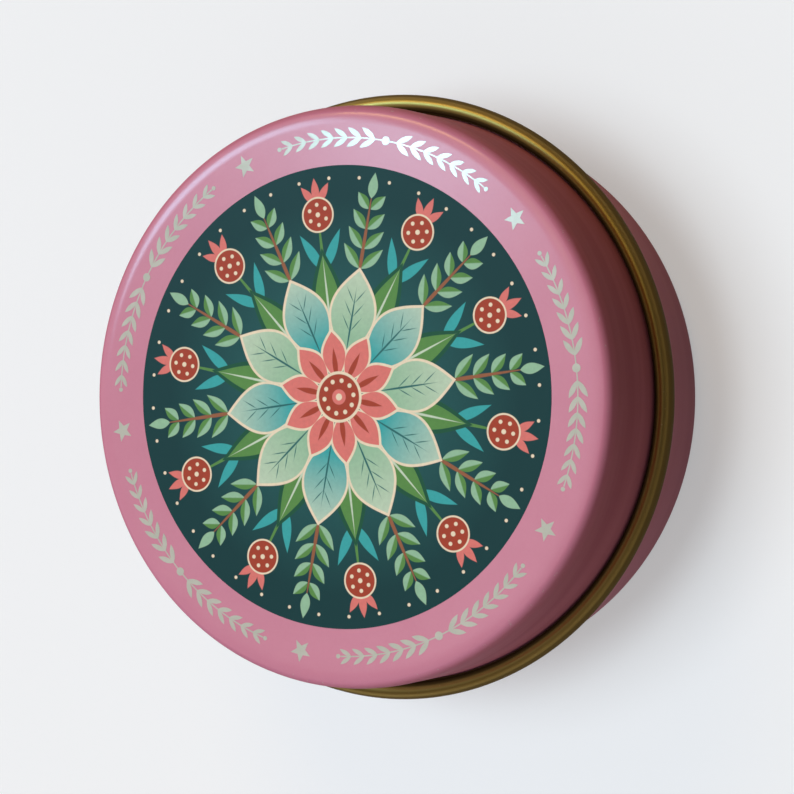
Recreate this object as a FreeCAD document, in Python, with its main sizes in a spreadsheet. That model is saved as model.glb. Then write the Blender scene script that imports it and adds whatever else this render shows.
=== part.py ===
import FreeCAD, Part
import math
import os

import Sketcher

# Round slip-lid tin of drawn tinplate, in millimetres, standing on its foot with the lid up.
# The axis is +Z, the foot rests at z = 0 and every pressing is a sheet profile turned about the axis.

doc = FreeCAD.newDocument("SlipLidTin")

# Driving sizes
sizes = doc.addObject("Spreadsheet::Sheet", "Sizes")
drivingSizes = [
    ("overallHeight", 26.3, "foot to the top of the lid"),
    ("lidDiameter", 62.0, "outside of the lid's skirt"),
    ("sheetThickness", 0.25, "tinplate, lid and base alike"),
    ("shoulderRadius", 1.3, "outside bend between the lid's face and its skirt"),
    ("skirtDepth", 11.9, "lid's face to the middle of its rolled edge"),
    ("curlDiameter", 2.4, "section of the lid's edge, rolled outward"),
    ("hemDiameter", 2.0, "section of the base's mouth, rolled inward"),
    ("rawEdgeGap", 0.08, "rolled edge's cut end to the wall it turns back to"),
    ("slipClearance", 0.2, "lid's skirt to the base's wall, all round"),
    ("seatClearance", 0.08, "base's mouth to the underside of the lid"),
    ("footRadius", 1.5, "outside bend between the base's wall and its floor"),
    ("footRingWidth", 2.6, "flat ring that the tin stands on"),
    ("panelRecess", 0.6, "how far the floor panel is pressed up from the foot"),
    ("panelBendRadius", 0.6, "inside bends of the step round the floor panel"),
]
for row, (alias, value, note) in enumerate(drivingSizes, start=1):
    sizes.set(f"A{row}", alias)
    sizes.set(f"B{row}", str(value))
    sizes.set(f"C{row}", note)
    sizes.setAlias(f"B{row}", alias)
doc.recompute()

# Places that the pieces share, as expressions of the driving sizes
sheet = "Sizes.sheetThickness"
faceTop = "Sizes.overallHeight"
skirtRadius = "Sizes.lidDiameter / 2"
curlHeight = f"{faceTop} - Sizes.skirtDepth"
curlRadius = "Sizes.curlDiameter / 2"
curlEdgeRadius = f"{skirtRadius} + Sizes.rawEdgeGap"
wallRadius = f"{skirtRadius} - {sheet} - Sizes.slipClearance"
hemRadius = "Sizes.hemDiameter / 2"
hemDrop = f"max(Sizes.shoulderRadius; {sheet} + Sizes.seatClearance + {hemRadius})"
hemHeight = f"{faceTop} - {hemDrop}"
hemEdgeRadius = f"{wallRadius} - {sheet} - Sizes.rawEdgeGap"
outerBendRadius = f"Sizes.panelBendRadius + {sheet}"


def number(expression):
    return float(sizes.evalExpression(expression))


def line(start, end):
    return Part.LineSegment(FreeCAD.Vector(*start, 0), FreeCAD.Vector(*end, 0)), 1, 2


def arc(centre, radius, fromDegrees, toDegrees):
    # A rising angle runs counter-clockwise, a falling one clockwise, so its ends change places.
    first, last = sorted((fromDegrees, toDegrees))
    circle = Part.Circle(FreeCAD.Vector(*centre, 0), FreeCAD.Vector(0, 0, 1), radius)
    shape = Part.ArcOfCircle(circle, math.radians(first), math.radians(last))
    return (shape, 1, 2) if toDegrees > fromDegrees else (shape, 2, 1)


class SheetProfile:
    # A closed section of sheet metal, radius across and height up, turned about the vertical axis.
    horizontalAxisIndex = -1
    verticalAxisIndex = -2
    origin = (-1, 1)
    centreIndex = 3

    def __init__(self, label, edges):
        self.body = doc.addObject("PartDesign::Body", label.title().replace("_", ""))
        self.body.Label = label
        plane = next(item for item in self.body.Origin.OriginFeatures if item.Role == "XZ_Plane")
        self.sketch = self.body.newObject("Sketcher::SketchObject", label + "_section")
        self.sketch.AttachmentSupport = [(plane, "")]
        self.sketch.MapMode = "FlatFace"
        self.edge = {}
        self.entry = {}
        self.leave = {}
        for name, (shape, entry, leave), join in edges:
            self.edge[name] = self.sketch.addGeometry(shape, False)
            self.entry[name] = (self.edge[name], entry)
            self.leave[name] = (self.edge[name], leave)
        names = [name for name, shape, join in edges]
        for (name, shape, join), following in zip(edges, names[1:] + names[:1]):
            self.rule(join, *self.leave[name], *self.entry[following])

    def rule(self, kind, *where):
        return self.sketch.addConstraint(Sketcher.Constraint(kind, *where))

    def level(self, *names):
        for name in names:
            self.rule("Horizontal", self.edge[name])

    def upright(self, *names):
        for name in names:
            self.rule("Vertical", self.edge[name])

    def concentric(self, name, other):
        self.rule("Coincident", self.edge[name], self.centreIndex, self.edge[other], self.centreIndex)

    def radial(self, name, bend):
        self.rule("PointOnObject", self.edge[bend], self.centreIndex, self.edge[name])

    def onAxis(self, *points):
        for point in points:
            self.rule("PointOnObject", *point, self.verticalAxisIndex)

    def measure(self, name, kind, expression, *where):
        index = self.sketch.addConstraint(Sketcher.Constraint(kind, *where, number(expression)))
        self.sketch.renameConstraint(index, name)
        self.sketch.setExpression("Constraints." + name, expression)

    def turn(self):
        turned = self.body.newObject("PartDesign::Revolution", self.body.Label + "_turned")
        turned.Profile = self.sketch
        turned.ReferenceAxis = (self.sketch, ["V_Axis"])
        turned.Angle = 360
        return self.body


# Lid: flat face, rounded shoulder and straight skirt, down to where the edge starts to roll
def makeLidShell():
    top = number(faceTop)
    outside = number(skirtRadius)
    sheetNow = number(sheet)
    bend = number("Sizes.shoulderRadius")
    bottom = number(curlHeight)
    shoulderCentre = (outside - bend, top - bend)
    lid = SheetProfile("lid_shell", [
        ("face", line((0, top), (outside - bend, top)), "Tangent"),
        ("shoulder", arc(shoulderCentre, bend, 90, 0), "Tangent"),
        ("skirt", line((outside, top - bend), (outside, bottom)), "Coincident"),
        ("seat", line((outside, bottom), (outside - sheetNow, bottom)), "Coincident"),
        ("innerSkirt", line((outside - sheetNow, bottom), (outside - sheetNow, top - bend)), "Tangent"),
        ("innerShoulder", arc(shoulderCentre, bend - sheetNow, 0, 90), "Tangent"),
        ("innerFace", line((outside - bend, top - sheetNow), (0, top - sheetNow)), "Coincident"),
        ("axis", line((0, top - sheetNow), (0, top)), "Coincident"),
    ])
    lid.level("face", "seat", "innerFace")
    lid.upright("skirt", "innerSkirt")
    lid.concentric("shoulder", "innerShoulder")
    lid.onAxis(lid.entry["face"], lid.leave["innerFace"])
    lid.measure("faceTop", "DistanceY", faceTop, *lid.origin, *lid.entry["face"])
    lid.measure("skirtRadius", "DistanceX", skirtRadius, *lid.origin, *lid.entry["skirt"])
    lid.measure("shoulderBend", "Radius", "Sizes.shoulderRadius", lid.edge["shoulder"])
    lid.measure("sheet", "DistanceY", sheet, *lid.leave["innerFace"], *lid.entry["face"])
    lid.measure("curlHeight", "DistanceY", curlHeight, *lid.origin, *lid.leave["skirt"])
    return lid.turn()


# Lid's edge: the skirt's sheet rolled outward until its cut end comes back to the skirt
def makeLidCurl():
    outside = number(skirtRadius)
    sheetNow = number(sheet)
    height = number(curlHeight)
    roll = number(curlRadius)
    middle = (outside - sheetNow + roll, height)
    endAngle = 360 + math.degrees(math.acos((number(curlEdgeRadius) - middle[0]) / roll))
    endWay = (math.cos(math.radians(endAngle)), math.sin(math.radians(endAngle)))
    innerEnd = [place + (roll - sheetNow) * way for place, way in zip(middle, endWay)]
    outerEnd = [place + roll * way for place, way in zip(middle, endWay)]
    curl = SheetProfile("lid_curl", [
        ("innerRoll", arc(middle, roll - sheetNow, 180, endAngle), "Coincident"),
        ("cutEnd", line(innerEnd, outerEnd), "Coincident"),
        ("outerRoll", arc(middle, roll, endAngle, 180), "Coincident"),
        ("seat", line((outside - sheetNow, height), (outside, height)), "Coincident"),
    ])
    curl.level("seat")
    curl.concentric("innerRoll", "outerRoll")
    curl.radial("cutEnd", "outerRoll")
    curl.rule("Horizontal", *curl.leave["seat"], curl.edge["outerRoll"], curl.centreIndex)
    curl.measure("curlHeight", "DistanceY", curlHeight, *curl.origin, *curl.leave["seat"])
    curl.measure("skirtRadius", "DistanceX", skirtRadius, *curl.origin, *curl.leave["seat"])
    curl.measure("sheet", "DistanceX", sheet, *curl.entry["seat"], *curl.leave["seat"])
    curl.measure("rollRadius", "Radius", curlRadius, curl.edge["outerRoll"])
    curl.measure("cutEndRadius", "DistanceX", curlEdgeRadius, *curl.origin, *curl.leave["cutEnd"])
    return curl.turn()


# Base: pressed-up floor panel, flat foot ring, straight wall and a mouth rolled inward
def makeBaseShell():
    outside = number(wallRadius)
    sheetNow = number(sheet)
    foot = number("Sizes.footRadius")
    ringInside = outside - foot - number("Sizes.footRingWidth")
    rise = number("Sizes.panelRecess")
    tight = number("Sizes.panelBendRadius")
    wide = number(outerBendRadius)
    roll = number(hemRadius)
    mouth = number(hemHeight)
    stepAngle = math.degrees(math.acos(1 - rise / (tight + wide)))
    panelRadius = ringInside - (tight + wide) * math.sin(math.radians(stepAngle))
    lowBend = (ringInside, wide)
    highBend = (panelRadius, rise - tight)
    footCentre = (outside - foot, foot)
    hemCentre = (outside - roll, mouth)
    endAngle = 360 - math.degrees(math.acos((number(hemEdgeRadius) - hemCentre[0]) / roll))
    endWay = (math.cos(math.radians(endAngle)), math.sin(math.radians(endAngle)))
    innerEnd = [place + (roll - sheetNow) * way for place, way in zip(hemCentre, endWay)]
    outerEnd = [place + roll * way for place, way in zip(hemCentre, endWay)]
    base = SheetProfile("base_shell", [
        ("panel", line((0, rise), (panelRadius, rise)), "Tangent"),
        ("highBend", arc(highBend, tight, 90, 90 - stepAngle), "Tangent"),
        ("lowBend", arc(lowBend, wide, 270 - stepAngle, 270), "Tangent"),
        ("footRing", line((ringInside, 0), (outside - foot, 0)), "Tangent"),
        ("foot", arc(footCentre, foot, 270, 360), "Tangent"),
        ("wall", line((outside, foot), (outside, mouth)), "Tangent"),
        ("hem", arc(hemCentre, roll, 0, endAngle), "Coincident"),
        ("cutEnd", line(outerEnd, innerEnd), "Coincident"),
        ("innerHem", arc(hemCentre, roll - sheetNow, endAngle, 0), "Tangent"),
        ("innerWall", line((outside - sheetNow, mouth), (outside - sheetNow, foot)), "Tangent"),
        ("innerFoot", arc(footCentre, foot - sheetNow, 360, 270), "Tangent"),
        ("innerRing", line((outside - foot, sheetNow), (ringInside, sheetNow)), "Tangent"),
        ("innerLowBend", arc(lowBend, tight, 270, 270 - stepAngle), "Tangent"),
        ("innerHighBend", arc(highBend, wide, 90 - stepAngle, 90), "Tangent"),
        ("floor", line((panelRadius, rise + sheetNow), (0, rise + sheetNow)), "Coincident"),
        ("axis", line((0, rise + sheetNow), (0, rise)), "Coincident"),
    ])
    base.level("panel", "footRing", "innerRing", "floor")
    base.upright("wall", "innerWall")
    for bend, inner in (("highBend", "innerHighBend"), ("lowBend", "innerLowBend"),
                        ("foot", "innerFoot"), ("hem", "innerHem")):
        base.concentric(bend, inner)
    base.radial("cutEnd", "hem")
    base.onAxis(base.entry["panel"], base.leave["floor"])
    base.rule("PointOnObject", *base.entry["footRing"], base.horizontalAxisIndex)
    base.measure("wallRadius", "DistanceX", wallRadius, *base.origin, *base.entry["wall"])
    base.measure("sheet", "DistanceX", sheet, *base.entry["innerWall"], *base.leave["wall"])
    base.measure("footBend", "Radius", "Sizes.footRadius", base.edge["foot"])
    base.measure("ringWidth", "DistanceX", "Sizes.footRingWidth", *base.entry["footRing"],
                 *base.leave["footRing"])
    base.measure("panelRecess", "DistanceY", "Sizes.panelRecess", *base.origin, *base.entry["panel"])
    base.measure("tightBend", "Radius", "Sizes.panelBendRadius", base.edge["highBend"])
    base.measure("wideBend", "Radius", outerBendRadius, base.edge["lowBend"])
    base.measure("hemRadius", "Radius", hemRadius, base.edge["hem"])
    base.measure("hemHeight", "DistanceY", hemHeight, *base.origin, base.edge["hem"], base.centreIndex)
    base.measure("cutEndRadius", "DistanceX", hemEdgeRadius, *base.origin, *base.leave["hem"])
    return base.turn()


pieces = [makeLidShell(), makeLidCurl(), makeBaseShell()]
doc.recompute()

# Everything has to be sound before anything is written
for item in doc.Objects:
    if "Invalid" in item.State or "Error" in item.State:
        raise RuntimeError(f"{item.Label} failed: {item.State}")
    if item.TypeId == "Sketcher::SketchObject" and not item.FullyConstrained:
        raise RuntimeError(f"{item.Label} isn't fully constrained")
for piece in pieces:
    if piece.Shape.isNull() or not piece.Shape.isValid() or len(piece.Shape.Solids) != 1:
        raise RuntimeError(f"{piece.Label} isn't one sound solid")

os.makedirs("parts", exist_ok=True)
for piece in pieces:
    piece.Shape.exportStep(f"parts/{piece.Label}.step")
    box = piece.Shape.optimalBoundingBox(False)
    print(f"{piece.Label}: {piece.Shape.Volume:.1f} mm3, radius {box.XMax:.2f}, "
          f"z {box.ZMin:.2f} to {box.ZMax:.2f}")
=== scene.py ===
import math
import bmesh
import bpy
from mathutils import Matrix, Vector


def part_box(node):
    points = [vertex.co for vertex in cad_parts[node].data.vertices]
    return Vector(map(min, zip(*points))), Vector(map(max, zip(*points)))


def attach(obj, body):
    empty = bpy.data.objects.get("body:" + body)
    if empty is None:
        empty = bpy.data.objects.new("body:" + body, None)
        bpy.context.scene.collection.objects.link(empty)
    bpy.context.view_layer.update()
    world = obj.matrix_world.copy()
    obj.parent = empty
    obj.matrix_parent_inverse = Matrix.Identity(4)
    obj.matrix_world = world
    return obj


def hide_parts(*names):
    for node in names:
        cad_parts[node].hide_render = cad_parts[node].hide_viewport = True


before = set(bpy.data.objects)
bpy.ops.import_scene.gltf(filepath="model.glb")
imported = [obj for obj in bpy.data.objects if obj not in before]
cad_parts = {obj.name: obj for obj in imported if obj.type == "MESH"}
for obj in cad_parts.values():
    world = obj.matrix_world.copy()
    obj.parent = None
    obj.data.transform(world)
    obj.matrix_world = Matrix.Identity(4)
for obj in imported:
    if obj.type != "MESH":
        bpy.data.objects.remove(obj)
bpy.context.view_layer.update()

# Sizes that several pieces share, in metres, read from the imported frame
lidLow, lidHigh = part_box("lid_shell")
curlLow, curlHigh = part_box("lid_curl")
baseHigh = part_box("base_shell")[1]
tin = {
    "lidRadius": lidHigh.x,
    "faceTop": lidHigh.z,
    "skirtEnd": lidLow.z,
    "sheet": 0.00025,  # tinplate thickness
    "turnSteps": 240,  # facets round the axis
    "flatMargin": 0.00012,  # narrow rows beside a bend that keep the shading of flats flat
    "weld": 0.000002,  # points closer than this become one
    "creaseAngle": 35.0,  # degrees between faces that shade as a crease
}
print("frame loaded: lid radius %.2f mm, height %.2f mm" % (tin["lidRadius"] * 1000, tin["faceTop"] * 1000))


def shade(red, green, blue):
    # picture colour 0 to 255 into the linear values that Blender's sockets take
    steps = [part / 255 for part in (red, green, blue)]
    linear = [s / 12.92 if s <= 0.04045 else ((s + 0.055) / 1.055) ** 2.4 for s in steps]
    return (*linear, 1.0)


class Wire:
    # one output socket; arithmetic on it adds Math nodes to its tree
    def __init__(self, tree, socket=None):
        self.tree = tree
        self.socket = socket

    def node(self, kind, settings=None, sockets=None, out=0):
        made = self.tree.nodes.new(kind)
        for name, value in (settings or {}).items():
            setattr(made, name, value)
        for name, value in (sockets or {}).items():
            if isinstance(value, Wire):
                self.tree.links.new(value.socket, made.inputs[name])
            else:
                made.inputs[name].default_value = value
        return Wire(self.tree, made.outputs[out] if made.outputs else None)

    def also(self, out):
        return Wire(self.tree, self.socket.node.outputs[out])

    def op(self, operation, *others):
        values = dict(enumerate((self, *others)))
        return self.node("ShaderNodeMath", {"operation": operation}, values)

    def held(self):
        return self.node("ShaderNodeClamp", None, {"Value": self})

    def __add__(self, other):
        return self.op("ADD", other)

    def __mul__(self, other):
        return self.op("MULTIPLY", other)

    def __sub__(self, other):
        return self.op("SUBTRACT", other)

    def __rsub__(self, other):
        return self.node("ShaderNodeMath", {"operation": "SUBTRACT"}, {0: other, 1: self})

    def __truediv__(self, other):
        return self.op("DIVIDE", other)

    def __pow__(self, other):
        return self.op("POWER", other)

    def __abs__(self):
        return self.op("ABSOLUTE")

    __radd__ = __add__
    __rmul__ = __mul__

    def stretched(self, scale):
        return self.node("ShaderNodeVectorMath", {"operation": "MULTIPLY"}, {0: self, 1: scale})

    def parts(self):
        x = self.node("ShaderNodeSeparateXYZ", None, {0: self}, "X")
        return x, x.also("Y"), x.also("Z")

    def noise(self, scale, detail, roughness=0.5, depth=None):
        sockets = {"Vector": self, "Scale": scale, "Detail": detail, "Roughness": roughness}
        settings = {"noise_dimensions": "3D"}
        if depth is not None:
            settings = {"noise_dimensions": "4D"}
            sockets["W"] = depth
        return self.node("ShaderNodeTexNoise", settings, sockets, "Fac")

    def paint(self, under, over):
        # this wire is the mask
        return self.node("ShaderNodeMix", {"data_type": "RGBA"}, {0: self, 6: under, 7: over}, 2)

    def bump(self, strength, distance):
        sockets = {"Height": self, "Strength": strength, "Distance": distance}
        return self.node("ShaderNodeBump", None, sockets, "Normal")


def hypot(a, b):
    return (a * a + b * b).op("SQRT")


def newMaterial(name):
    material = bpy.data.materials.new(name)
    material.use_nodes = True
    material.node_tree.nodes.clear()
    wire = Wire(material.node_tree)
    return material, wire.node("ShaderNodeTexCoord", None, None, "Object")


def finishMaterial(material, place, sockets):
    surface = place.node("ShaderNodeBsdfPrincipled", None, sockets, "BSDF")
    place.node("ShaderNodeOutputMaterial", None, {"Surface": surface})
    return material


# In the looks below a noise is its scale, its detail and, where it isn't a half, its roughness.
# Names that end in From and Edge say where in its noise a mark starts, and how sharp it is.
# Names that end in Share, Rough and Height say how much it adds to colour, roughness and bump.

# Fine skin that lacquer and print share
skin = {
    "mottle": (240.0, 3.0),
    "grain": (2600.0, 2.0),
    "mottleRough": 0.08,
    "mottleHeight": 0.6,
    "grainHeight": 0.5,
    "bump": (0.25, 0.00003),  # strength and depth
}


def skinNoise(place):
    mottle, grain = place.noise(*skin["mottle"]), place.noise(*skin["grain"])
    return mottle, grain, grain * skin["grainHeight"] + mottle * skin["mottleHeight"]


# Pink lacquer, with lines drawn round the axis whose darker pink also stands in for painted reflection bands,
# and rubbed flecks at one bend of the sheet
pinkLook = {
    "pink": shade(201, 133, 160),
    "deepPink": shade(194, 124, 152),
    "grainPink": shade(214, 160, 182),
    "grainShare": 0.12,
    "linesAndReflectionPink": shade(166, 96, 120),
    "drawnStretch": (16.0, 16.0, 420.0),
    "drawn": (1.0, 2.5),
    "linesAndReflectionFrom": 0.36,
    "linesAndReflectionEdge": 3.6,
    "linesAndReflectionUnder": 0.1,  # how far the lines and painted reflection bands darken the pink under varnish
    "drawnRough": 0.12,
    "drawnHeight": 0.35,
    "tin": shade(196, 190, 186),
    "rubbed": (1500.0, 4.0, 0.7),
    "fleckFrom": 0.74,  # higher leaves fewer bare flecks
    "fleckMore": 0.12,  # more flecks towards the middle of the bend
    "fleckEdge": 14.0,
    "fleckShare": 0.7,
    "fleckSmooth": 0.06,
    "roughness": 0.54,
    "varnishFade": 0.00005,
    "varnish": 0.95,
    "varnishRoughness": 0.19,
    "varnishIndex": 1.65,
}


def pinkLacquer(name, bendRadius, bendHeight, bendWidth, varnishFrom, linesAndReflectionDepth, gloss):
    look = pinkLook
    material, place = newMaterial(name)
    x, y, z = place.parts()
    mottle, grain, height = skinNoise(place)
    drawn = place.stretched(look["drawnStretch"]).noise(*look["drawn"])
    rubbed = place.noise(*look["rubbed"])
    varnish = ((z - varnishFrom) / look["varnishFade"]).held()
    nearBend = (1 - hypot(hypot(x, y) - bendRadius, z - bendHeight) / bendWidth).held()
    bare = ((rubbed + nearBend * look["fleckMore"] - look["fleckFrom"]) * look["fleckEdge"]).held() * nearBend
    # darker pink lines drawn round the axis, which also stand in for painted reflection bands on the skirt
    linesAndReflection = ((drawn - look["linesAndReflectionFrom"]) * look["linesAndReflectionEdge"]).held()
    linesAndReflection = linesAndReflection * (linesAndReflectionDepth - varnish * (linesAndReflectionDepth - look["linesAndReflectionUnder"]))
    colour = mottle.paint(look["deepPink"], look["pink"])
    colour = (grain * look["grainShare"]).paint(colour, look["grainPink"])
    colour = linesAndReflection.paint(colour, look["linesAndReflectionPink"])
    colour = (bare * look["fleckShare"]).paint(colour, look["tin"])
    roughness = drawn * look["drawnRough"] + mottle * skin["mottleRough"] + look["roughness"]
    return finishMaterial(material, place, {
        "Base Color": colour,
        "Roughness": roughness - bare * look["fleckSmooth"],
        "Metallic": bare * look["fleckShare"],
        "Normal": (height + drawn * look["drawnHeight"]).bump(*skin["bump"]),
        "Specular IOR Level": gloss,
        "Coat Weight": varnish * look["varnish"],
        "Coat Roughness": look["varnishRoughness"],
        "Coat IOR": look["varnishIndex"],
    })


# Clear gold lacquer over tinplate, with fine marks drawn round the axis, and painted shade on the rolled
# edge's flanks and in the crevice by the skirt
goldLook = {
    "gold": shade(210, 187, 112),
    "deepGold": shade(168, 143, 73),
    "drawnStretch": (30.0, 30.0, 3200.0),
    "drawnAcross": 3200.0,  # the marks' scale along the radius
    "drawn": (1.0, 4.0, 0.6),
    "drawnShare": 0.7,
    "drawnRough": 0.14,
    "smudge": (160.0, 3.0),
    "smudgeShare": 0.3,
    "smudgeRough": 0.1,
    "speck": (3000.0, 2.0),
    "speckHeight": 0.3,
    "nickGold": shade(232, 208, 150),
    "nickFrom": 0.7,
    "nickEdge": 14.0,
    "nickShare": 0.7,
    "flankShade": shade(50, 36, 12),  # painted shade on the rolled edge's flanks
    "flankShadeDrop": 0.00022,  # from the rolled edge's top down to it
    "edgeShadeFade": 0.0003,
    "flankShadeShare": 0.8,
    "flankShadeRough": 0.35,
    "grooveShade": shade(22, 8, 3),  # painted shade in the crevice between the rolled edge and the skirt
    "grooveShadeWidth": 0.001,
    "grooveShadeFade": 0.00035,
    "grooveShadeShare": 0.85,
    "roughness": 0.24,
    "gloss": 0.1,
    "bump": (0.18, 0.00002),
    "edgeMetal": 1.0,
    "insideMetal": 0.55,  # the inside gleams less than the rolled edge
}


def goldLacquer(name, metal):
    look = goldLook
    material, place = newMaterial(name)
    x, y, z = place.parts()
    out = hypot(x, y)
    drawn = place.stretched(look["drawnStretch"]).noise(*look["drawn"], out * look["drawnAcross"])
    smudge = place.noise(*look["smudge"])
    speck = place.noise(*look["speck"])
    nick = ((speck - look["nickFrom"]) * look["nickEdge"]).held()
    onEdge = ((out - tin["lidRadius"]) / look["edgeShadeFade"]).held()
    # painted shade: the rolled edge's flanks below its top are darkened
    paintedShade = ((curlHigh.z - look["flankShadeDrop"] - z) / look["edgeShadeFade"]).held() * onEdge
    # painted shade in the crevice next to the skirt
    grooveShade = ((tin["lidRadius"] + look["grooveShadeWidth"] - out) / look["grooveShadeFade"]).held() * onEdge
    colour = drawn * look["drawnShare"] + smudge * look["smudgeShare"]
    colour = colour.paint(look["deepGold"], look["gold"])
    colour = (nick * look["nickShare"]).paint(colour, look["nickGold"])
    colour = (paintedShade * look["flankShadeShare"]).paint(colour, look["flankShade"])
    colour = (grooveShade * look["grooveShadeShare"]).paint(colour, look["grooveShade"])
    # the painted shade on flanks and crevice is rougher and less metallic, so it mirrors less
    paintedShade = paintedShade.op("MAXIMUM", grooveShade * onEdge)
    roughness = drawn * look["drawnRough"] + smudge * look["smudgeRough"] + look["roughness"]
    return finishMaterial(material, place, {
        "Base Color": colour,
        "Roughness": roughness + paintedShade * look["flankShadeRough"],
        "Metallic": metal - paintedShade * look["flankShadeShare"],
        "Specular IOR Level": look["gloss"],
        "Normal": (drawn + speck * look["speckHeight"]).bump(*look["bump"]),
    })


# The sheet's sheared edge, bare metal
cutLook = {
    "dull": shade(128, 126, 124),
    "bright": shade(196, 194, 190),
    "shearedStretch": (600.0, 600.0, 4000.0),
    "sheared": (1.0, 3.0, 0.6),
    "shearedRough": 0.2,
    "roughness": 0.25,
    "bump": (0.3, 0.00002),
}


def cutTin():
    look = cutLook
    material, place = newMaterial("cut_tin")
    sheared = place.stretched(look["shearedStretch"]).noise(*look["sheared"])
    return finishMaterial(material, place, {
        "Base Color": sheared.paint(look["dull"], look["bright"]),
        "Roughness": sheared * look["shearedRough"] + look["roughness"],
        "Metallic": 1.0,
        "Normal": sheared.bump(*look["bump"]),
    })


# Silver foil of the border's ornaments
foilLook = {
    "greenSilver": shade(174, 191, 177),
    "paleSilver": shade(214, 214, 208),
    "crinkle": (1400.0, 3.0),
    "crinkleShare": 0.4,
    "crinkleRough": 0.08,
    "cloud": (300.0, 2.0),
    "cloudShare": 0.6,
    "roughness": 0.09,
    "metal": 0.25,
    "bump": (0.2, 0.00002),
}


def silverFoil():
    look = foilLook
    material, place = newMaterial("silver_foil")
    crinkle = place.noise(*look["crinkle"])
    tone = crinkle * look["crinkleShare"] + place.noise(*look["cloud"]) * look["cloudShare"]
    return finishMaterial(material, place, {
        "Base Color": tone.paint(look["greenSilver"], look["paleSilver"]),
        "Roughness": crinkle * look["crinkleRough"] + look["roughness"],
        "Metallic": look["metal"],
        "Normal": crinkle.bump(*look["bump"]),
    })


# The printed rosette, in millimetres from the lid's axis
inks = {
    "deepTeal": shade(24, 62, 66),
    "midTeal": shade(46, 108, 110),
    "mint": shade(150, 198, 168),
    "paleMint": shade(200, 224, 204),
    "leafGreen": shade(92, 146, 78),
    "darkGreen": shade(34, 88, 64),
    "turquoise": shade(62, 172, 178),
    "cream": shade(238, 228, 204),
    "rust": shade(166, 68, 48),
    "coral": shade(222, 126, 122),
    "brown": shade(150, 98, 70),
}
rosette = {
    "perMetre": (1000.0, 1000.0, 1000.0),  # millimetres, along each axis
    "fold": 10,  # sprigs, with as many buds between them
    "firstWay": 43.5,  # degrees, the way that one sprig points
    "inkEdge": 0.07,  # softness of a mark's edge
    "groundReach": 21.0,  # the ground is darkest from here outwards
    "groundDots": 40,
    "groundDotsTurn": 4.5,  # degrees
    "sprigShrink": 0.35,  # from one leaf pair to the next
    "halfLeafEdge": 8.0,  # sharpness of the line between a leaf's two greens
    "budAt": 19.5,
    "budDots": 6,
    "petalFade": (6.0, 9.0),  # where petals start to turn pale, and how far it takes
    "centreDots": 10,
    "grainShare": 0.2,
    "grainRough": 0.05,
    "roughness": 0.28,
    "gloss": 0.13,
}
# Leaf-shaped marks: start and end along the sector, half width, and the belly, below 1 nearer the start
leafMarks = {
    "sprigStem": (11.0, 23.6, 0.24, 0.6),
    "sprigLeaf": (0.2, 3.5, 0.62, 0.85),
    "sprigTip": (21.2, 24.0, 0.6, 0.8),
    "budLeaf": (0.1, 5.0, 0.6, 0.8),
    "budStem": (12.0, 21.0, 0.2, 0.7),
    "budTip": (20.6, 23.5, 0.5, 0.9),
    "budSepal": (0.3, 2.9, 0.46, 0.9),
    "broadEdge": (5.6, 16.0, 2.0, 0.8),
    "broadLeaf": (6.4, 15.2, 1.5, 0.8),
    "broadVein": (6.4, 15.6, 0.16, 0.7),
    "petalEdge": (3.4, 13.9, 2.85, 1.15),
    "petal": (3.6, 13.5, 2.6, 1.15),
    "petalVein": (4.2, 12.4, 0.14, 0.8),
    "petalSideVein": (0.0, 2.3, 0.09, 0.8),
    "innerEdge": (1.4, 7.4, 1.6, 1.1),
    "innerPetal": (1.6, 7.0, 1.38, 1.1),
    "innerFold": (2.0, 5.4, 0.34, 0.8),
}
# Leaf pairs along a stem: the first one's place, the pitch, the last one's number, and the lean in degrees
leafRows = {
    "sprigLeaves": (13.6, 2.1, 3.0, 43.0),
    "budLeaves": (13.4, 9.0, 0.0, 30.0),
    "budSepals": (20.4, 9.0, 0.0, 36.0),
    "petalVeins": (7.0, 1.5, 2.0, 35.0),
}
# Dots: the middle's place along the sector, and the radius
dotMarks = {
    "ground": (23.2, 0.22),
    "bud": (1.08, 0.25),
    "centre": (1.75, 0.28),
}
# Discs laid on one another: radius and ink
budDiscs = ((1.95, "cream"), (1.76, "rust"))
budEye = ((0.3, "cream"),)
centreDiscs = ((2.75, "cream"), (2.45, "rust"))
centreEye = ((0.85, "coral"), (0.4, "cream"))


def foldRound(reach, angle, count, firstWay):
    # every sector of the circle laid on one: distance along it, across it, and its number
    share = math.tau / count
    turned = angle - math.radians(firstWay)
    number = (turned / share).op("ROUND")
    off = turned - number * share
    return reach * off.op("COSINE"), abs(reach * off.op("SINE")), number


def sideLeaves(sector, row):
    # distance out along the nearest leaf of a row, off its middle, and its number
    along, across, _ = sector
    first, pitch, last, lean = leafRows[row]
    slope = math.radians(lean)
    slid = along - across / math.tan(slope) - first
    number = (slid / pitch).op("ROUND").op("MAXIMUM", 0.0).op("MINIMUM", last)
    left = slid - number * pitch
    return left * math.cos(slope) + across / math.sin(slope), left * math.sin(slope), number


def leafMask(sector, mark, shorter=0.0):
    along, across, _ = sector
    start, end, half, belly = leafMarks[mark]
    share = ((along - start) / (end - shorter - start)).held()
    width = (share ** belly * math.pi).op("SINE") * half
    return ((width - abs(across)) / rosette["inkEdge"]).held()


def discMask(reach, radius):
    return ((radius - reach) / rosette["inkEdge"]).held()


def dotMask(sector, mark):
    along, across, _ = sector
    centre, radius = dotMarks[mark]
    return discMask(hypot(along - centre, across), radius)


def layDiscs(picture, reach, discs):
    for radius, ink in discs:
        picture = discMask(reach, radius).paint(picture, inks[ink])
    return picture


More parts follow.
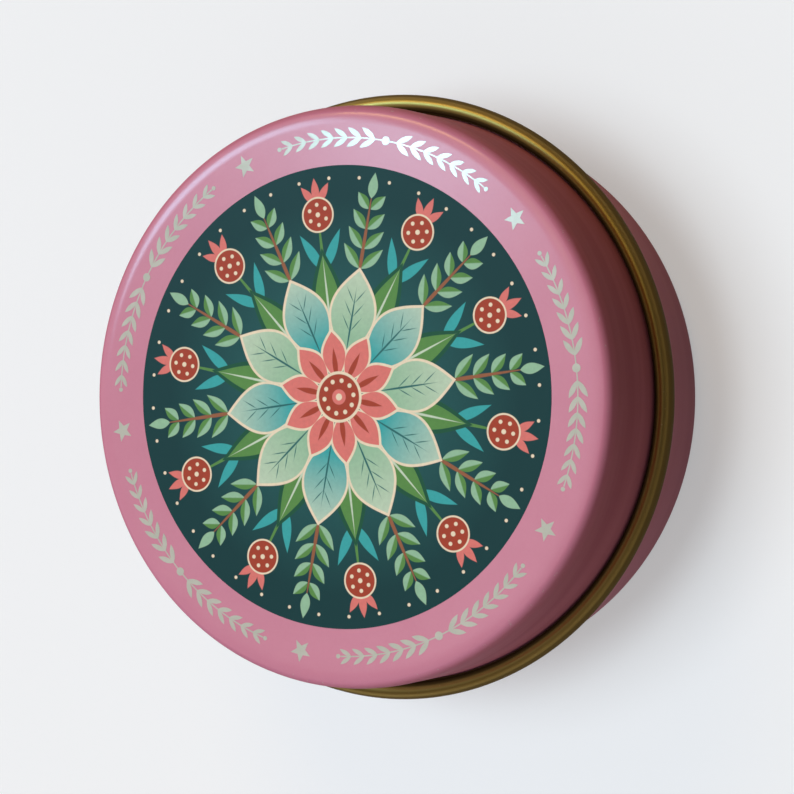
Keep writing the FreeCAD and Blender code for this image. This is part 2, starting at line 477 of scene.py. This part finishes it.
def inkGround(reach, angle):
    # teal that darkens outwards, with pinpoint dots near its edge
    picture = (1 - reach / rosette["groundReach"]).held().paint(inks["deepTeal"], inks["midTeal"])
    fine = foldRound(reach, angle, rosette["groundDots"], rosette["firstWay"] + rosette["groundDotsTurn"])
    return dotMask(fine, "ground").paint(picture, inks["cream"])


def inkSprigs(picture, onLine):
    # leafy sprigs that point outwards
    picture = leafMask(onLine, "sprigStem").paint(picture, inks["brown"])
    leaves = sideLeaves(onLine, "sprigLeaves")
    off, number = leaves[1:]
    tone = (off * rosette["halfLeafEdge"]).held().paint(inks["mint"], inks["leafGreen"])
    picture = leafMask(leaves, "sprigLeaf", number * rosette["sprigShrink"]).paint(picture, tone)
    return leafMask(onLine, "sprigTip").paint(picture, inks["mint"])


def inkBuds(picture, between):
    # dotted buds on stems between the sprigs
    picture = leafMask(sideLeaves(between, "budLeaves"), "budLeaf").paint(picture, inks["turquoise"])
    picture = leafMask(between, "budStem").paint(picture, inks["leafGreen"])
    picture = leafMask(between, "budTip").paint(picture, inks["coral"])
    picture = leafMask(sideLeaves(between, "budSepals"), "budSepal").paint(picture, inks["coral"])
    along, across = between[0] - rosette["budAt"], between[1]
    reach = hypot(along, across)
    picture = layDiscs(picture, reach, budDiscs)
    ring = foldRound(reach, across.op("ARCTAN2", along), rosette["budDots"], 0.0)
    picture = dotMask(ring, "bud").paint(picture, inks["cream"])
    return layDiscs(picture, reach, budEye)


def inkBroadLeaves(picture, between):
    # broad leaves behind the flower
    picture = leafMask(between, "broadEdge").paint(picture, inks["darkGreen"])
    picture = leafMask(between, "broadLeaf").paint(picture, inks["leafGreen"])
    return leafMask(between, "broadVein").paint(picture, inks["paleMint"])


def inkPetals(picture, onLine):
    # the flower's long petals, two colours in turn
    along, _, number = onLine
    fadeFrom, fadeOver = rosette["petalFade"]
    tone = abs(number).op("MODULO", 2.0).paint(inks["turquoise"], inks["mint"])
    tone = ((along - fadeFrom) / fadeOver).held().paint(tone, inks["paleMint"])
    picture = leafMask(onLine, "petalEdge").paint(picture, inks["cream"])
    picture = leafMask(onLine, "petal").paint(picture, tone)
    picture = leafMask(onLine, "petalVein").paint(picture, inks["midTeal"])
    return leafMask(sideLeaves(onLine, "petalVeins"), "petalSideVein").paint(picture, inks["midTeal"])


def inkCentre(picture, between, reach, angle):
    # short inner petals round a dotted disc
    picture = leafMask(between, "innerEdge").paint(picture, inks["cream"])
    picture = leafMask(between, "innerPetal").paint(picture, inks["coral"])
    picture = leafMask(between, "innerFold").paint(picture, inks["rust"])
    picture = layDiscs(picture, reach, centreDiscs)
    ring = foldRound(reach, angle, rosette["centreDots"], rosette["firstWay"])
    picture = dotMask(ring, "centre").paint(picture, inks["cream"])
    return layDiscs(picture, reach, centreEye)


def pictureInk():
    look = rosette
    material, place = newMaterial("picture_ink")
    x, y, _ = place.stretched(look["perMetre"]).parts()
    reach = hypot(x, y)
    angle = y.op("ARCTAN2", x)
    onLine = foldRound(reach, angle, look["fold"], look["firstWay"])
    between = foldRound(reach, angle, look["fold"], look["firstWay"] + 180.0 / look["fold"])
    picture = inkGround(reach, angle)
    picture = inkSprigs(picture, onLine)
    picture = inkBuds(picture, between)
    picture = inkBroadLeaves(picture, between)
    picture = inkPetals(picture, onLine)
    picture = inkCentre(picture, between, reach, angle)
    mottle, grain, height = skinNoise(place)
    return finishMaterial(material, place, {
        "Base Color": (grain * look["grainShare"]).paint(picture, inks["deepTeal"]),
        "Roughness": mottle * skin["mottleRough"] + grain * look["grainRough"] + look["roughness"],
        "Normal": height.bump(*skin["bump"]),
        "Specular IOR Level": look["gloss"],
    })


# Sheet metal is drawn as a strip in the XZ plane, then turned round the axis
def runTo(bm, tip, out, height):
    tip = bmesh.ops.extrude_vert_indiv(bm, verts=[tip])["verts"][0]
    tip.co = (out, 0.0, height)
    return tip


def bendRound(bm, tip, out, height, degrees, steps):
    made = bmesh.ops.spin(bm, geom=[tip], cent=(out, 0.0, height), axis=(0.0, 1.0, 0.0),
                          angle=math.radians(degrees), steps=steps)
    return [part for part in made["geom_last"] if isinstance(part, bmesh.types.BMVert)][0]


def turnStrip(bm):
    bmesh.ops.spin(bm, geom=bm.verts[:] + bm.edges[:], cent=(0.0, 0.0, 0.0), axis=(0.0, 0.0, 1.0),
                   angle=math.tau, steps=tin["turnSteps"], use_merge=True)
    bmesh.ops.remove_doubles(bm, verts=bm.verts[:], dist=tin["weld"])
    bmesh.ops.recalc_face_normals(bm, faces=bm.faces[:])


def thicken(bm):
    # slot 0 is the drawn side, slot 1 the other side of the sheet, slot 2 the sheared rim
    outside = set(bm.faces)
    bmesh.ops.solidify(bm, geom=bm.faces[:], thickness=tin["sheet"])
    for face in bm.faces:
        if face in outside:
            continue
        touchesOutside = any(other in outside for edge in face.edges for other in edge.link_faces)
        face.material_index = 2 if touchesOutside else 1


def finishPiece(bm, name, body, materials, node=None):
    mesh = bpy.data.meshes.new(name)
    bm.to_mesh(mesh)
    bm.free()
    mesh.shade_smooth()
    mesh.set_sharp_from_angle(angle=math.radians(tin["creaseAngle"]))
    for material in materials:
        mesh.materials.append(material)
    piece = bpy.data.objects.new(name, mesh)
    bpy.context.scene.collection.objects.link(piece)
    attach(piece, body)
    if node:
        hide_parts(node)
    print("made %s: %d faces" % (name, len(mesh.polygons)))


gold = goldLacquer("gold_lacquer_edge", goldLook["edgeMetal"])
insideGold = goldLacquer("gold_lacquer_inside", goldLook["insideMetal"])
rawEdge = cutTin()

# Lid pressing: face, shoulder and skirt
lidPressing = {
    # bends from the face down to the skirt: radius, tilt at its end in degrees, steps
    "bends": ((0.005, 14.0, 6), (0.0009, 45.0, 6), (0.0014, 75.0, 8), (0.005, 90.0, 6)),
    "wearIn": 0.0004,  # ring of wear, in from the corner of face and skirt
    "wearWidth": 0.0011,
    "varnishDepth": 0.00022,  # varnish ends on the shoulder
    "linesAndReflectionDepth": 0.44,  # how far drawn lines and painted reflection bands darken the pink
    "gloss": 0.07,
}


def makeLidPressing():
    look = lidPressing
    radius, top, margin = tin["lidRadius"], tin["faceTop"], tin["flatMargin"]
    flat, before = radius, 0.0
    for bend, tilt, _ in look["bends"]:
        flat -= bend * (math.sin(math.radians(tilt)) - math.sin(math.radians(before)))
        before = tilt
    bm = bmesh.new()
    tip = bm.verts.new((0.0, 0.0, top))
    tip = runTo(bm, tip, flat - margin, top)
    tip = runTo(bm, tip, flat, top)
    before = 0.0
    for bend, tilt, steps in look["bends"]:
        slope = math.radians(before)
        out, height = tip.co.x - bend * math.sin(slope), tip.co.z - bend * math.cos(slope)
        tip = bendRound(bm, tip, out, height, tilt - before, steps)
        before = tilt
    tip = runTo(bm, tip, radius, tip.co.z - margin)
    tip = runTo(bm, tip, radius, tin["skirtEnd"])
    turnStrip(bm)
    thicken(bm)
    pink = pinkLacquer("pink_lacquer_lid", radius - look["wearIn"], top - look["wearIn"], look["wearWidth"],
                       top - look["varnishDepth"], look["linesAndReflectionDepth"], look["gloss"])
    finishPiece(bm, "lid_pressing", "lid", [pink, insideGold, rawEdge], "lid_shell")


# Rolled edge of the lid: the skirt's end wound outwards, so that the sheet's gold side shows
lidRoll = {
    "firstTurn": 180.0,  # degrees, from the skirt under and out
    "tightTurn": 168.0,  # degrees, up and over with a smaller radius
    "tightRadius": 0.00103,
    "steps": 22,  # in each of the two turns
}


def makeLidRoll():
    roll = (curlHigh.z - curlLow.z) / 2
    start = tin["lidRadius"] - tin["sheet"]
    bm = bmesh.new()
    tip = bm.verts.new((start, 0.0, tin["skirtEnd"]))
    tip = bendRound(bm, tip, start + roll, tin["skirtEnd"], -lidRoll["firstTurn"], lidRoll["steps"])
    out = tip.co.x - lidRoll["tightRadius"]
    bendRound(bm, tip, out, tin["skirtEnd"], -lidRoll["tightTurn"], lidRoll["steps"])
    turnStrip(bm)
    thicken(bm)
    pink = bpy.data.materials["pink_lacquer_lid"]
    finishPiece(bm, "lid_rolled_edge", "lid", [gold, pink, rawEdge], "lid_curl")


# Base cup: raised floor panel, foot, wall and the mouth rolled inwards
baseCup = {
    "footBend": 0.0015,
    "footSteps": 12,
    "ringWidth": 0.0026,
    "panelRise": 0.0006,
    "panelBend": 0.0006,
    "panelSteps": 6,  # in each of the panel's two bends
    "mouthRoll": 0.001,
    "mouthWound": 306.0,  # degrees
    "mouthSteps": 36,
    "wearIn": 0.00045,  # ring of wear, in from the corner of foot and wall
    "wearWidth": 0.0013,
    "linesAndReflectionDepth": 0.18,
    "gloss": 0.45,
}


def makeBaseCup():
    look = baseCup
    wall, foot, roll = baseHigh.x, look["footBend"], look["mouthRoll"]
    tight = look["panelBend"]
    wide = tight + tin["sheet"]
    stepAngle = math.acos(1 - look["panelRise"] / (tight + wide))
    bendDegrees = math.degrees(stepAngle)
    ringInside = wall - foot - look["ringWidth"]
    panel = ringInside - (tight + wide) * math.sin(stepAngle)
    bm = bmesh.new()
    tip = bm.verts.new((0.0, 0.0, look["panelRise"]))
    tip = runTo(bm, tip, panel - tin["flatMargin"], look["panelRise"])
    tip = runTo(bm, tip, panel, look["panelRise"])
    tip = bendRound(bm, tip, panel, look["panelRise"] - tight, bendDegrees, look["panelSteps"])
    tip = bendRound(bm, tip, ringInside, wide, -bendDegrees, look["panelSteps"])
    tip = runTo(bm, tip, wall - foot, 0.0)
    tip = bendRound(bm, tip, wall - foot, foot, -90.0, look["footSteps"])
    tip = runTo(bm, tip, wall, foot + tin["flatMargin"])
    tip = runTo(bm, tip, wall, baseHigh.z - roll)
    bendRound(bm, tip, wall - roll, baseHigh.z - roll, -look["mouthWound"], look["mouthSteps"])
    turnStrip(bm)
    thicken(bm)
    # the varnish would start at the lid's face, so the base has none
    pink = pinkLacquer("pink_lacquer_base", wall - look["wearIn"], look["wearIn"], look["wearWidth"],
                       tin["faceTop"], look["linesAndReflectionDepth"], look["gloss"])
    finishPiece(bm, "base_cup", "base", [pink, insideGold, rawEdge], "base_shell")


# Print and foil lie on the face: proud by a hair, with their undersides in the sheet
printLayer = {
    "proud": 0.000012,
    "overlap": 0.000004,  # step up where one shape lies on another
    "depth": 0.00003,
    "pictureRadius": 0.02452,
    "rimSteps": 192,
    "borderRing": 0.0274,  # radius that stars and sprigs follow
}
# The picture's map: middle and reach of each part
pictureMap = {
    "top": ((0.5, 0.5), 0.495),
    "underside": ((0.075, 0.075), 0.065),
    "rimTop": ((0.925, 0.075), 0.065),
    "rimFoot": ((0.925, 0.075), 0.045),
    "level": 0.5,  # faces whose normals rise more than this are level
}


def layOnFace(bm):
    bmesh.ops.translate(bm, vec=(0.0, 0.0, tin["faceTop"] + printLayer["proud"]), verts=bm.verts[:])
    bmesh.ops.recalc_face_normals(bm, faces=bm.faces[:])
    for face in bm.faces:
        if face.normal.z < 0:
            face.normal_flip()
    bmesh.ops.solidify(bm, geom=bm.faces[:], thickness=printLayer["depth"])


def mapPart(normal, height):
    if abs(normal.z) < pictureMap["level"]:
        return pictureMap["rimTop" if height > tin["faceTop"] else "rimFoot"]
    return pictureMap["top" if normal.z > 0 else "underside"]


def laySharpMap(bm, radius):
    # the printed top fills the map; rim and underside share two of its corners
    corners = bm.loops.layers.uv.new("OFBake")
    for face in bm.faces:
        for loop in face.loops:
            x, y, z = loop.vert.co
            middle, share = mapPart(face.normal, z)
            loop[corners].uv = (middle[0] + x / radius * share, middle[1] + y / radius * share)


def makePicture():
    radius = printLayer["pictureRadius"]
    bm = bmesh.new()
    bmesh.ops.create_circle(bm, cap_ends=True, radius=radius, segments=printLayer["rimSteps"])
    layOnFace(bm)
    laySharpMap(bm, radius)
    finishPiece(bm, "lid_picture", "lid", [pictureInk()])


# Foil shapes are drawn at the axis, then moved out to the border and turned to their place
def turnShape(bm, verts, angle):
    bmesh.ops.rotate(bm, cent=(0, 0, 0), matrix=Matrix.Rotation(angle, 3, "Z"), verts=verts)


def drawShape(bm, corners, radius=1.0):
    # a regular shape with its first corner along +X
    made = bmesh.ops.create_circle(bm, cap_ends=True, radius=radius, segments=corners)["verts"]
    turnShape(bm, made, -math.atan2(made[0].co.y, made[0].co.x))
    return made


def placeOnBorder(bm, verts, way, rise=0.0):
    bmesh.ops.translate(bm, vec=(printLayer["borderRing"], 0.0, rise), verts=verts)
    turnShape(bm, verts, way)


# Five-point stars on the border, one point outwards
borderStars = {
    "ways": (41.7, 114.8, 187.8, 260.3, 330.6),  # degrees
    "corners": 10,
    "tip": 0.00125,
    "valley": 0.43,  # inner corners, as a share of the tips
}


def makeStars(foil):
    look = borderStars
    bm = bmesh.new()
    for degrees in look["ways"]:
        corners = drawShape(bm, look["corners"], look["tip"])
        bmesh.ops.scale(bm, vec=(look["valley"], look["valley"], 1.0), verts=corners[1::2])
        placeOnBorder(bm, corners, math.radians(degrees))
    layOnFace(bm)
    finishPiece(bm, "lid_stars", "lid", [foil])


# Leaf sprigs of the same foil between the stars, grown both ways from a berry in the middle
borderSprigs = {
    "clear": 9.5,  # degrees between a sprig's end and the middle of the star
    "pairs": 7,
    "firstPair": 2.6,  # degrees from the middle
    "leafLength": 0.00205,
    "leafHalf": 0.0003,
    "leafCorners": 10,
    "leafPoint": 1.25,  # how far the two tips are drawn out
    "leafShrink": 0.04,  # from one pair to the next
    "lean": 31.0,  # degrees between leaf and stem
    "stemHalf": 0.00007,
    "stemShort": 0.6,  # degrees between the stem's end and the middle of the end berry
    "stemSteps": 36,
    "berry": 0.00046,
    "endBerry": 0.00024,
    "berryCorners": 16,
}


def layLeaf(bm, way, side, lean, size):
    # a pointed leaf that starts on the stem and leans away from the middle
    look = borderSprigs
    length, half, point = look["leafLength"] * size, look["leafHalf"] * size, look["leafPoint"]
    corners = drawShape(bm, look["leafCorners"])
    bmesh.ops.scale(bm, vec=(length / 2 / point, half, 1.0), verts=corners)
    tips = [corners[0], corners[len(corners) // 2]]
    bmesh.ops.scale(bm, vec=(point, 1.0, 1.0), verts=tips)
    bmesh.ops.translate(bm, vec=(length / 2, 0.0, 0.0), verts=corners)
    turnShape(bm, corners, side * math.radians(90.0) + math.radians(lean))
    placeOnBorder(bm, corners, way, printLayer["overlap"])


def layBerry(bm, way, radius):
    made = bmesh.ops.create_circle(bm, cap_ends=True, radius=radius, segments=borderSprigs["berryCorners"])
    placeOnBorder(bm, made["verts"], way, 2 * printLayer["overlap"])


def layStem(bm, way, reach):
    ring, half = printLayer["borderRing"], borderSprigs["stemHalf"]
    ends = [bm.verts.new((out * math.cos(way - reach), out * math.sin(way - reach), 0.0))
            for out in (ring - half, ring + half)]
    edge = bm.edges.new(ends)
    bmesh.ops.spin(bm, geom=[*ends, edge], cent=(0, 0, 0), axis=(0, 0, 1), angle=2 * reach,
                   steps=borderSprigs["stemSteps"])


def makeSprigs(foil):
    look = borderSprigs
    ways = [*borderStars["ways"], borderStars["ways"][0] + 360.0]
    bm = bmesh.new()
    for before, after in zip(ways, ways[1:]):
        middle = (before + after) / 2
        reach = (after - before) / 2 - look["clear"]
        pitch = (reach - look["firstPair"]) / look["pairs"]
        layStem(bm, math.radians(middle), math.radians(reach - look["stemShort"]))
        layBerry(bm, math.radians(middle), look["berry"])
        for side in (-1, 1):
            layBerry(bm, math.radians(middle + side * reach), look["endBerry"])
            for pair in range(look["pairs"]):
                way = math.radians(middle + side * (look["firstPair"] + pair * pitch))
                for lean in (-look["lean"], look["lean"]):
                    layLeaf(bm, way, side, lean, 1.0 - look["leafShrink"] * pair)
    layOnFace(bm)
    finishPiece(bm, "lid_sprigs", "lid", [foil])


makeLidPressing()
makeLidRoll()
makeBaseCup()
makePicture()
foil = silverFoil()
makeStars(foil)
makeSprigs(foil)

# Studio: pale floor, soft window light from the upper left of the picture
studioFloor = {
    "size": 16.0,
    "drop": 0.00002,  # below the foot, so that the two don't flicker
    "paper": shade(187, 195, 202),
    "grain": shade(178, 185, 190),
    "grainNoise": (900.0, 2.0),
    "grainShare": 0.06,
    "bounce": shade(90, 76, 43),  # what the floor sends back to the tin
    "glowColour": shade(235, 238, 240),
    "glow": 0.44,
}


def floorFinish():
    look = studioFloor
    material, place = newMaterial("studio_floor")
    rays = place.node("ShaderNodeLightPath", None, None, "Is Camera Ray")
    seen = rays.op("MAXIMUM", rays.also("Is Glossy Ray")).op("MAXIMUM", rays.also("Is Transmission Ray"))
    bounced = place.node("ShaderNodeBsdfDiffuse", None, {"Color": look["bounce"]})
    grain = place.noise(*look["grainNoise"])
    paper = (grain * look["grainShare"]).paint(look["paper"], look["grain"])
    matt = place.node("ShaderNodeBsdfDiffuse", None, {"Color": paper})
    glow = place.node("ShaderNodeEmission", None, {"Color": look["glowColour"], "Strength": look["glow"]})
    shown = place.node("ShaderNodeAddShader", None, {0: matt, 1: glow})
    mixed = place.node("ShaderNodeMixShader", None, {0: seen, 1: bounced, 2: shown})
    place.node("ShaderNodeOutputMaterial", None, {"Surface": mixed})
    return material


def makeFloor():
    bm = bmesh.new()
    bmesh.ops.create_grid(bm, x_segments=1, y_segments=1, size=studioFloor["size"] / 2)
    bmesh.ops.translate(bm, vec=(0.0, 0.0, -studioFloor["drop"]), verts=bm.verts[:])
    mesh = bpy.data.meshes.new("studio_floor")
    bm.to_mesh(mesh)
    bm.free()
    mesh.materials.append(floorFinish())
    floor = bpy.data.objects.new("studio_floor", mesh)
    bpy.context.scene.collection.objects.link(floor)


# The room round the tin; left, right, above and below are the picture's
room = {
    "dimRight": shade(72, 55, 32),
    "dimLeft": shade(172, 174, 180),
    "paleBelow": shade(214, 188, 174),
    "warmAbove": shade(112, 68, 42),
    "dark": shade(30, 22, 12),  # what gloss shows at the right and below
    "darkest": 0.7,
    "horizon": shade(235, 238, 240),
    "horizonRise": 0.1,  # the pale horizon fades from this height to twice this height
}
# How a colour's share grows along +X and along +Y, and its value straight up
roomShares = {
    "dimLeft": (-0.55, -0.15, 0.5),
    "paleBelow": (0.0, -1.3, -0.25),
    "warmAbove": (0.0, 1.3, -0.2),
    "darkRight": (2.5, 0.0, 0.4),
    "darkBelow": (0.0, -4.0, -0.6),
    "horizonInGloss": (-0.7, 0.0, 0.7),
}


def makeWorld():
    world = bpy.data.worlds.new("studio_world")
    world.use_nodes = True
    world.node_tree.nodes.clear()
    wire = Wire(world.node_tree)
    x, y, z = wire.node("ShaderNodeTexCoord", None, None, "Generated").parts()

    def share(name):
        alongX, alongY, start = roomShares[name]
        return (x * alongX + y * alongY + start).held()

    rays = wire.node("ShaderNodeLightPath", None, None, "Is Camera Ray")
    mirrored = rays.also("Is Glossy Ray").op("MAXIMUM", rays.also("Is Transmission Ray"))
    seen = rays.op("MAXIMUM", mirrored * share("horizonInGloss"))
    horizon = (2 - abs(z) / room["horizonRise"]).held() * seen
    dark = share("darkRight").op("MAXIMUM", share("darkBelow")) * mirrored
    colour = share("dimLeft").paint(room["dimRight"], room["dimLeft"])
    colour = share("paleBelow").paint(colour, room["paleBelow"])
    colour = share("warmAbove").paint(colour, room["warmAbove"])
    colour = (dark * room["darkest"]).paint(colour, room["dark"])
    colour = horizon.paint(colour, room["horizon"])
    sky = wire.node("ShaderNodeBackground", None, {"Color": colour, "Strength": 1.0})
    wire.node("ShaderNodeOutputWorld", None, {"Surface": sky})
    bpy.context.scene.world = world


# Suns that light the matt colour, a window and a warm wall; spread and turn are in degrees
suns = {
    "key": {"way": (-0.26, 0.02, 0.965), "power": 1.98, "colour": (0.98, 1.0, 1.0), "spread": 34.0},
    "warm": {"way": (-0.2, 0.85, 0.48), "power": 0.68, "colour": (1.0, 0.54, 0.16), "spread": 30.0},
}
# Cards that show only in gloss
cards = {
    "sheen": {"way": (-0.6, 0.24, 0.763), "size": (0.34, 0.21), "turn": 25.0, "power": 1.85,
              "colour": (0.44, 0.78, 1.0)},
    "pane": {"way": (-0.428, 0.13, 0.894), "size": (0.076, 0.1), "turn": 0.0, "power": 0.24,
             "colour": (0.46, 0.81, 1.0)},
    "brow": {"way": (-0.32, 0.505, 0.8), "size": (0.35, 0.07), "turn": -12.0, "power": 0.64,
             "colour": (1.0, 0.68, 0.2)},
    "edge": {"way": (-0.15, 0.28, 0.948), "size": (0.28, 0.16), "turn": -59.0, "power": 0.09,
             "colour": (1.0, 0.82, 0.12)},
}


def hangLight(light, look):
    # a metre from the tin's foot, facing it
    light.energy = look["power"]
    light.color = look["colour"]
    lamp = bpy.data.objects.new(light.name, light)
    towards = Vector(look["way"]).normalized()
    lamp.location = towards
    lamp.rotation_mode = "QUATERNION"
    across = Vector((0.0, 1.0, 0.0)).cross(towards).normalized()
    facing = Matrix((across, towards.cross(across), towards)).transposed()
    turn = Matrix.Rotation(math.radians(look.get("turn", 0.0)), 3, "Z")
    lamp.rotation_quaternion = (facing @ turn).to_quaternion()
    lamp.visible_camera = False
    bpy.context.scene.collection.objects.link(lamp)
    return lamp


def makeLights():
    for name, look in suns.items():
        sun = bpy.data.lights.new(name, "SUN")
        sun.angle = math.radians(look["spread"])
        hangLight(sun, look).visible_glossy = False
    for name, look in cards.items():
        card = bpy.data.lights.new(name, "AREA")
        card.shape = "RECTANGLE"
        card.size, card.size_y = look["size"]
        hangLight(card, look).visible_diffuse = False


# Camera: the lid's face turned as in the photograph, the photograph's up along +Y
photoView = {
    "lens": 116.93,
    "sensor": 36.0,
    "nearest": 0.01,
    "turn": 27.17,  # degrees between the face's axis and the line of sight
    "faceCentre": (-0.1979, 0.0, 8.7933),  # right, down and ahead of the camera, in lid radii
}


def makeCamera():
    turn = math.radians(photoView["turn"])
    right = Vector((math.cos(turn), 0.0, -math.sin(turn)))
    up = Vector((0.0, 1.0, 0.0))
    back = Vector((math.sin(turn), 0.0, math.cos(turn)))
    aside, down, ahead = (share * tin["lidRadius"] for share in photoView["faceCentre"])
    spot = Vector((0.0, 0.0, tin["faceTop"])) - aside * right + down * up + ahead * back
    camera = bpy.data.cameras.new("photo_camera")
    camera.lens = photoView["lens"]
    camera.sensor_width = photoView["sensor"]
    camera.clip_start = photoView["nearest"]
    holder = bpy.data.objects.new("photo_camera", camera)
    holder.matrix_world = Matrix.Translation(spot) @ Matrix((right, up, back)).transposed().to_4x4()
    bpy.context.scene.collection.objects.link(holder)
    bpy.context.scene.camera = holder


makeFloor()
makeWorld()
makeLights()
makeCamera()
bpy.context.scene.view_settings.view_transform = "Standard"
print("studio and camera set")
